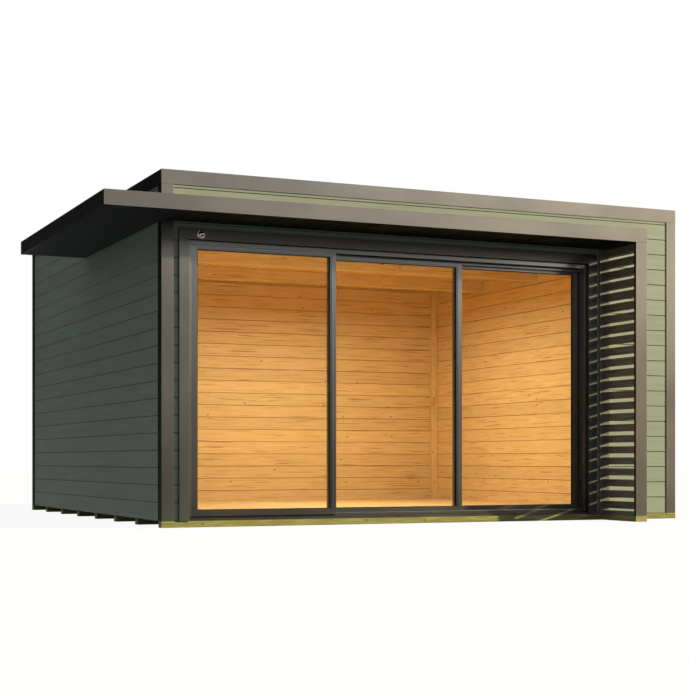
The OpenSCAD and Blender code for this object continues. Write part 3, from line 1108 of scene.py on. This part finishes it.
@dataclass
class Canopy(Assembly):
    """Edge bands and soffit boards of the canopy round the front left corner."""

    ease_mm: float = 1.5
    board_w_mm: float = 95.0
    bands: tuple[tuple[Side, Pair], ...] = (
        (Side.FRONT, (1.0, -1.0)),
        (Side.LEFT, (1.0, -1.0)),
        (Side.BACK, (0.0, -1.0)),
        (Side.RIGHT, (1.0, 0.0)),
    )

    def build(self) -> None:
        """Makes the bands and the soffit."""
        for side, slopes in self.bands:
            node = "canopy_band_" + side.name.lower()
            low, high = corners(node)
            section = rectangle(side.depth(low, high), high[2] - low[2], self.ease_mm * MM)
            bar = Bars(
                section, side.inward, Z_AXIS, side.along, side.start(low, high), side.length(low, high),
                slopes=slopes,
            )
            self.piece(node + "_fold", [bar.patch()], TRIM_COAT, "folded_trim", [node])
        self.soffit()
        self.keep("canopy_deck", ROOFING)

    def soffit(self) -> None:
        """Soffit boards at right angles to the walls: along Y in front, along X beside the left wall."""
        low, high = corners("canopy_soffit")
        trim_low, trim_high = corners("corner_trim_front_left")
        wall_low, _ = corners("left_wall")
        fields = {
            "soffit_corner": (low[0], low[1], trim_low[0], trim_high[1], X_AXIS),
            "soffit_left": (low[0], trim_high[1], wall_low[0], high[1], X_AXIS),
            "soffit_trim": (trim_low[0], low[1], trim_high[0], trim_low[1], Y_AXIS),
            "soffit_front": (trim_high[0], low[1], high[0], wall_low[1], Y_AXIS),
        }
        row = BoardRow(self.board_w_mm)
        patches = [
            row.patch([x0, y0, low[2]], [x1, y1, high[2]], along, -Z_AXIS, seed)
            for seed, (x0, y0, x1, y1, along) in fields.items()
        ]
        self.piece("soffit_boards", patches, SOFFIT_STAIN_AND_SHADE, "soffit_boards", ["canopy_soffit"])


@dataclass
class Screen(Assembly):
    """Slatted screen with its front board and the flat post on the wall."""

    ease_mm: float = 1.5
    slat_ease_mm: float = 2.0
    slat_h_mm: float = 55.0
    slat_pitch_mm: float = 86.0
    foot_slat_h_mm: float = 32.0
    foot_slat_gap_mm: float = 18.0

    def build(self) -> None:
        """Makes board, post and slats."""
        low, high = corners("screen_front_board")
        board = beam(low, high, Z_AXIS, self.ease_mm * MM)
        self.piece("screen_board", [board], TRIM_COAT, "folded_trim", ["screen_front_board"])
        low, high = corners("screen_wall_post")
        post = beam(low, high, Z_AXIS, self.slat_ease_mm * MM)
        self.piece("screen_post", [post], SLAT_STAIN, "stained_slats", ["screen_wall_post"])
        self.slats()

    def slats(self) -> None:
        """A low slat at the foot and even slats above it."""
        low, high = corners("screen_slats")
        foot_top = low[2] + self.foot_slat_h_mm * MM
        foot = beam(low, [high[0], high[1], foot_top], Y_AXIS, self.slat_ease_mm * MM)
        first = foot_top + self.foot_slat_gap_mm * MM
        pitch, height = self.slat_pitch_mm * MM, self.slat_h_mm * MM
        levels = first + pitch * np.arange(round((high[2] - height - first) / pitch) + 1)
        starts = low * (1.0, 1.0, 0.0) + levels[:, None] * Z_AXIS
        section = rectangle(high[0] - low[0], height, self.slat_ease_mm * MM)
        slats = Bars(section, X_AXIS, Z_AXIS, Y_AXIS, starts, high[1] - low[1], seed="slats")
        self.piece("slats", [foot, slats.patch()], SLAT_STAIN, "stained_slats", ["screen_slats"])


@dataclass
class DoorFrame(Assembly):
    """Boards round the door, jambs, and the head and sill with their tracks."""

    trim_ease_mm: float = 1.5
    jamb_ease_mm: float = 2.0
    boards: tuple[tuple[str, Array], ...] = (
        ("door_trim_left", Z_AXIS),
        ("door_trim_right", Z_AXIS),
        ("door_trim_head", X_AXIS),
    )

    def build(self) -> None:
        """Makes boards and jambs, and coats the tracks."""
        for node, along in self.boards:
            self.board(node, along)
        for node in ("door_jamb_left", "door_jamb_right"):
            jamb = beam(*corners(node), Z_AXIS, self.jamb_ease_mm * MM)
            self.piece(node + "_profile", [jamb], DOOR_COAT, "door_aluminium", [node])
        self.keep("door_head_track", DOOR_COAT)
        self.keep("door_sill_track", DOOR_COAT)

    def board(self, node: str, along: Array) -> None:
        """One board on the wall, and the lip behind it that reaches back to the door frame.

        Args:
            node: Packed board.
            along: Axis that the board follows.
        """
        low, high = corners(node)
        wall = corners("front_wall_left")[0][1]
        frame_low, frame_high = corners("door_head_track")
        face = beam(low, [high[0], wall, high[2]], along, self.trim_ease_mm * MM)
        lip_low = np.maximum(low, [frame_low[0], wall, low[2]])
        lip_high = np.minimum(high, [frame_high[0], high[1], frame_high[2]])
        lip = beam(lip_low, lip_high, along, self.trim_ease_mm * MM)
        self.piece(node + "_board", [face, lip], TRIM_COAT, "folded_trim", [node])


@dataclass
class DoorLeaf(Assembly):
    """One leaf: frame with bead and grooves, its pane and gaskets."""

    name: str = "left_leaf"
    stile_w_mm: float = 48.0
    bottom_rail_h_mm: float = 44.0
    top_rail_h_mm: float = 29.0
    bead_w_mm: float = 10.0
    bead_step_mm: float = 3.0
    glass_edge_mm: float = 8.0
    groove_w_mm: float = 16.0
    groove_d_mm: float = 14.0
    edge_mm: float = 1.5
    gasket_w_mm: float = 3.0
    seat_mm: float = 0.2

    def build(self) -> None:
        """Makes frame, pane and gaskets."""
        self.frame_ring()
        self.pane()
        self.gaskets()

    def ring(
        self, anchors: Sequence[Anchor], insets: Sequence[Pair], depths: Sequence[float]
    ) -> Patch:
        """Ring round this leaf from a section in millimetres.

        Args:
            anchors: Rectangle that each point keeps to.
            insets: Moves of each point towards the middle, sideways and upright.
            depths: Depth of each point behind the leaf's front.

        Returns:
            Faces of the ring.
        """
        low, high = corners(self.name + "_frame")
        opening_low = low + np.array([self.stile_w_mm, 0.0, self.bottom_rail_h_mm]) * MM
        opening_high = high - np.array([self.stile_w_mm, 0.0, self.top_rail_h_mm]) * MM
        return Ring(
            low, high, opening_low, opening_high, anchors, np.array(insets) * MM, np.array(depths) * MM
        ).patch()

    def frame_ring(self) -> None:
        """Frame: front face, stepped bead, glazing rebate, back face and the grooves for the tracks."""
        node = self.name + "_frame"
        low, high = corners(node)
        glass_low, glass_high = corners(self.name + "_glass")
        thick = (high[1] - low[1]) / MM
        rebate_front, rebate_back = (glass_low[1] - low[1]) / MM, (glass_high[1] - low[1]) / MM
        groove_front = (thick - self.groove_w_mm) / 2.0
        groove_back = thick - groove_front
        edge, bead, hold, groove = self.edge_mm, self.bead_w_mm, self.glass_edge_mm, self.groove_d_mm
        outer, opening = Anchor.OUTER, Anchor.OPENING
        section = [
            (outer, (0.0, 0.0), edge), (outer, (edge, edge), 0.0),
            (opening, (-bead - edge, -bead - edge), 0.0), (opening, (-bead, -bead), self.bead_step_mm),
            (opening, (-edge, -edge), self.bead_step_mm), (opening, (0.0, 0.0), self.bead_step_mm + edge),
            (opening, (0.0, 0.0), rebate_front), (opening, (-hold, -hold), rebate_front),
            (opening, (-hold, -hold), rebate_back), (opening, (0.0, 0.0), rebate_back),
            (opening, (0.0, 0.0), thick - edge), (opening, (-edge, -edge), thick),
            (outer, (edge, edge), thick), (outer, (0.0, 0.0), thick - edge),
            (outer, (0.0, 0.0), groove_back), (outer, (0.0, groove), groove_back),
            (outer, (0.0, groove), groove_front), (outer, (0.0, 0.0), groove_front),
        ]
        patch = self.ring(*zip(*section))
        self.piece(self.name + "_profile", [patch], DOOR_COAT, "door_aluminium", [node])

    def pane(self) -> None:
        """Solid pane in the rebate."""
        node = self.name + "_glass"
        sheet = beam(*corners(node), Z_AXIS, self.seat_mm * MM)
        self.piece(self.name + "_pane", [sheet], GLAZING, "glazing", [node])

    def gaskets(self) -> None:
        """One gasket in front of the pane and one behind it."""
        low, _ = corners(self.name + "_frame")
        glass_low, glass_high = corners(self.name + "_glass")
        front, back = (glass_low[1] - low[1]) / MM, (glass_high[1] - low[1]) / MM
        seat, lip = self.seat_mm, front - self.bead_step_mm
        gaskets = [
            self.band(seat, self.gasket_w_mm, front - lip / 2.0, front - seat),
            self.band(seat, self.gasket_w_mm, back + seat, back + lip / 2.0),
        ]
        self.piece(self.name + "_gaskets", gaskets, GASKET)

    def band(self, outer: float, inner: float, front: float, back: float) -> Patch:
        """Rectangular ring along the opening's edge, from the insets and depths of its faces in mm."""
        insets = [(inset, inset) for inset in (outer, inner, inner, outer)]
        return self.ring([Anchor.OPENING] * 4, insets, [front, front, back, back])


@dataclass
class DomeLamp(Assembly):
    """Round chrome lamp: a flange with an eased rim and a half-round dome."""

    flange_t_mm: float = 4.0
    dome_d_mm: float = 48.0
    rim_mm: float = 1.5
    rings: int = 12
    steps: int = 40

    def build(self) -> None:
        """Turns the profile of flange and dome round the lamp's axis."""
        low, high = corners("dome_lamp")
        radius, flange = (high[0] - low[0]) / 2.0, self.flange_t_mm * MM
        dome, rim = self.dome_d_mm * MM / 2.0, self.rim_mm * MM
        angle = np.linspace(0.0, math.pi / 2.0, self.rings)
        rounded = np.stack([dome * np.cos(angle), flange + dome * np.sin(angle)], axis=-1)
        foot = np.array([(radius, 0.0), (radius, flange - rim), (radius - rim, flange)])
        centre = (low + high) / 2.0
        centre[1] = high[1]
        patch = Turning(np.concatenate([foot, rounded]), centre, -Y_AXIS, self.steps).patch()
        self.piece("lamp", [patch], CHROME, "polished_metal", ["dome_lamp"], smooth=True)


@dataclass(frozen=True)
class Softbox:
    """Rectangular lamp: place, direction of its light, width and height in metres, power and colour."""

    name: str
    spot: Point
    way: Point
    size: Pair
    power: float
    colour: str


@dataclass
class Studio:
    """Camera, pale floor and soft light."""

    photo_px: float = 696.0
    focal_px: float = 1498.0
    horizon_px: float = 460.2
    sensor_mm: float = 36.0
    eye: Point = (-4.947, -11.909, 0.4718)
    turn_deg: float = -23.98
    sun_towards: Point = (2.05, -1.0, 0.565)
    sun_distance: float = 5.0
    sun_power: float = 8.2
    sun_spread_deg: float = 0.9
    sun_colour: str = "#ffedc0"
    sky_colour: str = "#dfe9f2"
    sky_power: float = 0.36
    floor_half: float = 60.0
    floor_drop: float = 0.001
    floor_white_share: float = 0.93
    floor_colour: str = "#868d92"
    sheet_ease: float = 0.00025
    left_card: tuple[Point, Point] = ((-7.5, -8.0, 0.0), (-7.4, 40.0, 11.0))
    front_card: tuple[Point, Point] = ((-4.0, -11.1, 0.0), (16.0, -11.0, 1.8))
    front_mat: tuple[Point, Point] = ((-4.0, -11.0, 0.0), (12.0, -1.95, 0.001))
    card_colour: str = "#1c1c1c"
    softboxes: tuple[Softbox, ...] = (
        Softbox("softbox_front", (5.1, -12.2, 6.9), (-0.38, 0.83, -0.41), (10.0, 3.3), 900.0, "#ffffff"),
        Softbox("softbox_right", (12.4, -12.9, 5.9), (-10.9, 10.9, -4.4), (8.6, 4.5), 830.0, "#fff3dc"),
    )
    room_power: float = 79.0
    room_shift: float = 0.15
    room_colour: str = "#f6f8ff"
    room_height: float = 2.02
    room_share: float = 0.45

    def build(self) -> None:
        """Sets up view, camera, floor and light. The softboxes only feed the sheen of coats."""
        bpy.context.scene.view_settings.view_transform = "Standard"
        self.camera()
        self.floor()
        self.cards()
        self.sky()
        self.sun()
        for box in self.softboxes:
            self.softbox(box).visible_diffuse = False
        self.room_lamp()

    def camera(self) -> None:
        """Level camera at the photograph's place, its frame shifted up so that the horizon sits low."""
        lens = bpy.data.cameras.new("camera")
        lens.sensor_width = self.sensor_mm
        lens.lens = self.focal_px / self.photo_px * self.sensor_mm
        lens.shift_y = self.horizon_px / self.photo_px - 0.5
        view = bpy.data.objects.new("camera", lens)
        view.location = self.eye
        view.rotation_euler = (math.pi / 2.0, 0.0, math.radians(self.turn_deg))
        bpy.context.scene.collection.objects.link(view)
        bpy.context.scene.camera = view

    def seen(self, tree: Tree) -> Socket:
        """One for rays from the camera, a gloss or a clear pane, and zero for those that carry light.

        Args:
            tree: Tree that gets the nodes.

        Returns:
            Socket with the result.
        """
        path = add_node(tree, "ShaderNodeLightPath").outputs
        first = add_node(
            tree, "ShaderNodeMath", {"operation": "MAXIMUM"},
            {0: path["Is Camera Ray"], 1: path["Is Glossy Ray"]},
        )
        both = add_node(
            tree, "ShaderNodeMath", {"operation": "MAXIMUM"},
            {0: first.outputs["Value"], 1: path["Is Transmission Ray"]},
        )
        return both.outputs["Value"]

    def floor(self) -> None:
        """Pale floor that is near white where it is seen and still takes a shadow."""
        half = self.floor_half
        low, high = np.array([-half, -half, -self.floor_drop - MM]), np.array([half, half, -self.floor_drop])
        ground = add_mesh("studio_floor", [beam(low, high, X_AXIS, self.sheet_ease)])
        made = bpy.data.materials.new("pale_studio_floor")
        made.use_nodes = True
        tree = made.node_tree
        seen = self.seen(tree)
        tint = add_node(
            tree, "ShaderNodeMix",
            {"data_type": "RGBA", 6: linear(self.floor_colour), 7: linear("#ffffff")}, {0: seen},
        )
        matt = add_node(tree, "ShaderNodeBsdfDiffuse", None, {"Color": tint.outputs[2]})
        white = add_node(tree, "ShaderNodeEmission")
        share = add_node(
            tree, "ShaderNodeMath", {"operation": "MULTIPLY", 1: self.floor_white_share}, {0: seen}
        )
        mixed = add_node(
            tree, "ShaderNodeMixShader", None,
            {0: share.outputs["Value"], 1: matt.outputs["BSDF"], 2: white.outputs["Emission"]},
        )
        tree.links.new(mixed.outputs["Shader"], tree.nodes["Material Output"].inputs["Surface"])
        ground.data.materials.append(made)

    def cards(self) -> None:
        """Dark cards that only gloss sees: one beside the left wall, and a low one in front with a mat."""
        self.card("left_card", [self.left_card])
        self.card("front_card", [self.front_card, self.front_mat])

    def card(self, name: str, boxes: Sequence[tuple[Point, Point]]) -> None:
        """One dark card that gloss mirrors and that throws no shadow.

        Args:
            name: Name of the card.
            boxes: Lowest and highest corner of each of its flat boxes.
        """
        patches = [beam(np.array(low), np.array(high), X_AXIS, self.sheet_ease) for low, high in boxes]
        card = add_mesh(name, patches)
        made = bpy.data.materials.new("dark_studio_card")
        made.use_nodes = True
        shader = made.node_tree.nodes["Principled BSDF"]
        shader.inputs["Base Color"].default_value = linear(self.card_colour)
        shader.inputs["Roughness"].default_value = 1.0
        shader.inputs["Specular IOR Level"].default_value = 0.0
        card.data.materials.append(made)
        card.visible_camera = False
        card.visible_transmission = False
        card.visible_shadow = False
        card.visible_diffuse = False

    def sky(self) -> None:
        """Soft even light, white where it is seen."""
        world = bpy.data.worlds.new("soft_sky")
        world.use_nodes = True
        bpy.context.scene.world = world
        tree = world.node_tree
        light = tree.nodes["Background"]
        light.inputs["Color"].default_value = linear(self.sky_colour)
        light.inputs["Strength"].default_value = self.sky_power
        white = add_node(tree, "ShaderNodeBackground", {"Color": linear("#ffffff"), "Strength": 1.0})
        mixed = add_node(
            tree, "ShaderNodeMixShader", None,
            {0: self.seen(tree), 1: light.outputs["Background"], 2: white.outputs["Background"]},
        )
        tree.links.new(mixed.outputs["Shader"], tree.nodes["World Output"].inputs["Surface"])

    def hang(
        self, name: str, kind: str, power: float, colour: str, spot: Array, way: Array
    ) -> bpy.types.Object:
        """Hangs a lamp up and points it.

        Args:
            name: Name of the lamp.
            kind: Blender's name of the lamp type.
            power: Its power.
            colour: Its colour, as sRGB hex.
            spot: Its place.
            way: Direction of its light.

        Returns:
            The lamp's object, hidden from camera and glass.
        """
        lamp = bpy.data.lights.new(name, kind)
        lamp.energy = power
        lamp.color = linear(colour)[:3]
        hung = bpy.data.objects.new(name, lamp)
        level = math.hypot(way[0], way[1])
        hung.rotation_euler = (math.atan2(level, -way[2]), 0.0, math.atan2(way[1], way[0]) - math.pi / 2.0)
        hung.location = spot
        hung.visible_camera = False
        hung.visible_transmission = False
        bpy.context.scene.collection.objects.link(hung)
        return hung

    def sun(self) -> None:
        """Warm low key light from the right."""
        towards = np.array(self.sun_towards)
        spot = towards * self.sun_distance
        hung = self.hang("key", "SUN", self.sun_power, self.sun_colour, spot, -towards)
        hung.data.angle = math.radians(self.sun_spread_deg)

    def softbox(self, box: Softbox) -> bpy.types.Object:
        """Rectangular soft lamp.

        Args:
            box: Softbox to hang up.

        Returns:
            The lamp's object.
        """
        hung = self.hang(box.name, "AREA", box.power, box.colour, np.array(box.spot), np.array(box.way))
        hung.data.shape = "RECTANGLE"
        hung.data.size, hung.data.size_y = box.size
        return hung

    def room_lamp(self) -> None:
        """Wide soft lamp in the room, below the ceiling, that shines down and that gloss doesn't mirror."""
        low, high = corners("roof_deck")
        middle = (low + high) / 2.0
        spot = (middle[0] + self.room_shift, middle[1], self.room_height)
        width, depth, _ = (high - low) * self.room_share
        box = Softbox("room", spot, tuple(-Z_AXIS), (width, depth), self.room_power, self.room_colour)
        self.softbox(box).visible_glossy = False


def main() -> None:
    """Builds every group, then the studio."""
    logging.basicConfig(level=logging.INFO, format="%(name)s %(message)s")
    leaves = (("building", "left_leaf"), ("middle_leaf", "middle_leaf"), ("right_leaf", "right_leaf"))
    groups: list[Assembly] = [
        Base(), LogWalls(), CornerTrims(), Roof(), Canopy(), Screen(), DoorFrame(),
        *(DoorLeaf(body, name) for body, name in leaves), DomeLamp(),
    ]
    for group in groups:
        LOG.info("building %s", type(group).__name__)
        group.build()
    Studio().build()


if __name__ == "__main__":
    main()
